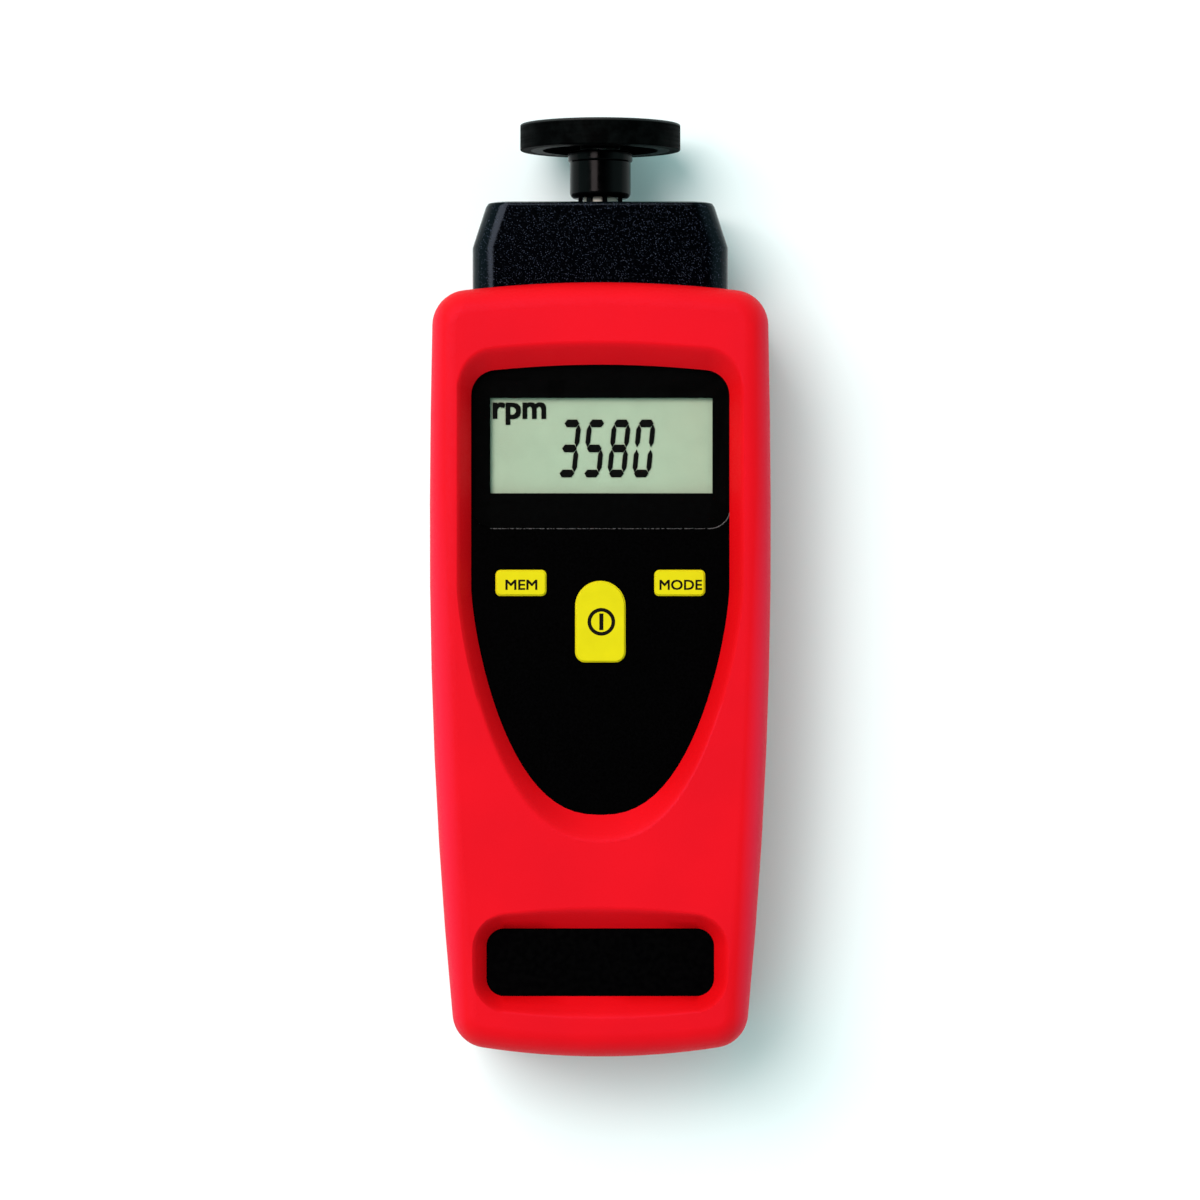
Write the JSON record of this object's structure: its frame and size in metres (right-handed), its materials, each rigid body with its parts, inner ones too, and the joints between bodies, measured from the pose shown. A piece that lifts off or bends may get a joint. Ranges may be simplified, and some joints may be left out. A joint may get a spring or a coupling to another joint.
{
  "type": "laser tachometer",
  "caption": "Handheld optical and contact rotation meter in a rubber holster, with display, push keys and a measuring wheel on a pull-off adapter.",
  "frame": {"origin": "on the resting surface, under the middle of the box round the whole object", "axes": "+Z out of the display, +Y towards the measuring wheel, +X to the right of the display"},
  "size_m": [0.0668, 0.1839, 0.036],
  "materials": {
    "red_rubber": "matte moulded rubber",
    "black_shell": "fine spark texture",
    "black_print": "printed film",
    "label_black": "smooth satin",
    "clear_lens": "polished",
    "display": "matt reflective display",
    "frame_plastic": "moulded",
    "contact_rubber": "moulded",
    "key_yellow": "satin moulded",
    "switch_black": "moulded",
    "board_green": "solder mask",
    "steel": "bright",
    "chip_black": "moulded",
    "cell_jacket": "printed jacket",
    "optic_black": "matt moulded",
    "red_window": "polished",
    "brass": "turned",
    "adapter_black": "smooth turned",
    "bronze": "sintered",
    "rotor_white": "natural",
    "wheel_black": "turned",
    "tyre_black": "ground rubber"
  },
  "bodies": {
    "root": {"holster": "red_rubber", "front_case": "black_shell", "rear_case": "black_shell", "case_screws": "steel", "label_plate": "label_black", "display_lens": "clear_lens", "display_mask": "black_print", "lcd_module": "display", "lcd_frame": "frame_plastic", "lcd_connectors": "contact_rubber", "tact_switches": "switch_black", "pcb": "board_green", "pcb_screws": "steel", "microcontroller": "chip_black", "crystal": "steel", "battery_left": "cell_jacket", "battery_right": "cell_jacket", "battery_contacts": "steel", "battery_springs": "steel", "optics_block": "optic_black", "port_window": "red_window", "laser_diode": "brass", "photodiode": "chip_black"},
    "mem_key": {"mem_button": "key_yellow"},
    "mode_key": {"mode_button": "key_yellow"},
    "power_key": {"power_button": "key_yellow"},
    "door": {"battery_door": "black_shell"},
    "adapter": {"adapter_barrel": "adapter_black", "adapter_cap": "adapter_black", "bush_near": "bronze", "bush_far": "bronze"},
    "shaft": {"spindle": "steel", "rotor": "rotor_white"},
    "wheel": {"wheel_rim": "wheel_black", "tyre": "tyre_black"}
  },
  "joints": [
    {"name": "mem_press", "type": "slide", "parent": "root", "child": "mem_key", "axis": [0, 0, -1], "range_m": [0, 0.0004], "stiffness_N_per_m": 2500},
    {"name": "mode_press", "type": "slide", "parent": "root", "child": "mode_key", "axis": [0, 0, -1], "range_m": [0, 0.0004], "stiffness_N_per_m": 2500},
    {"name": "power_press", "type": "slide", "parent": "root", "child": "power_key", "axis": [0, 0, -1], "range_m": [0, 0.0004], "stiffness_N_per_m": 2500},
    {"name": "door_hinge", "type": "hinge", "parent": "root", "child": "door", "pos_m": [0, -0.0177, 0.003], "axis": [1, 0, 0], "range_deg": [0, 75]},
    {"name": "adapter_pull", "type": "slide", "parent": "root", "child": "adapter", "axis": [0, 1, 0], "range_m": [0, 0.012]},
    {"name": "wheel_spin", "type": "hinge", "parent": "adapter", "child": "shaft", "pos_m": [0, 0.08, 0.017], "axis": [0, 1, 0], "continuous": true},
    {"name": "wheel_pull", "type": "slide", "parent": "shaft", "child": "wheel", "axis": [0, 1, 0], "range_m": [0, 0.006]}
  ]
}
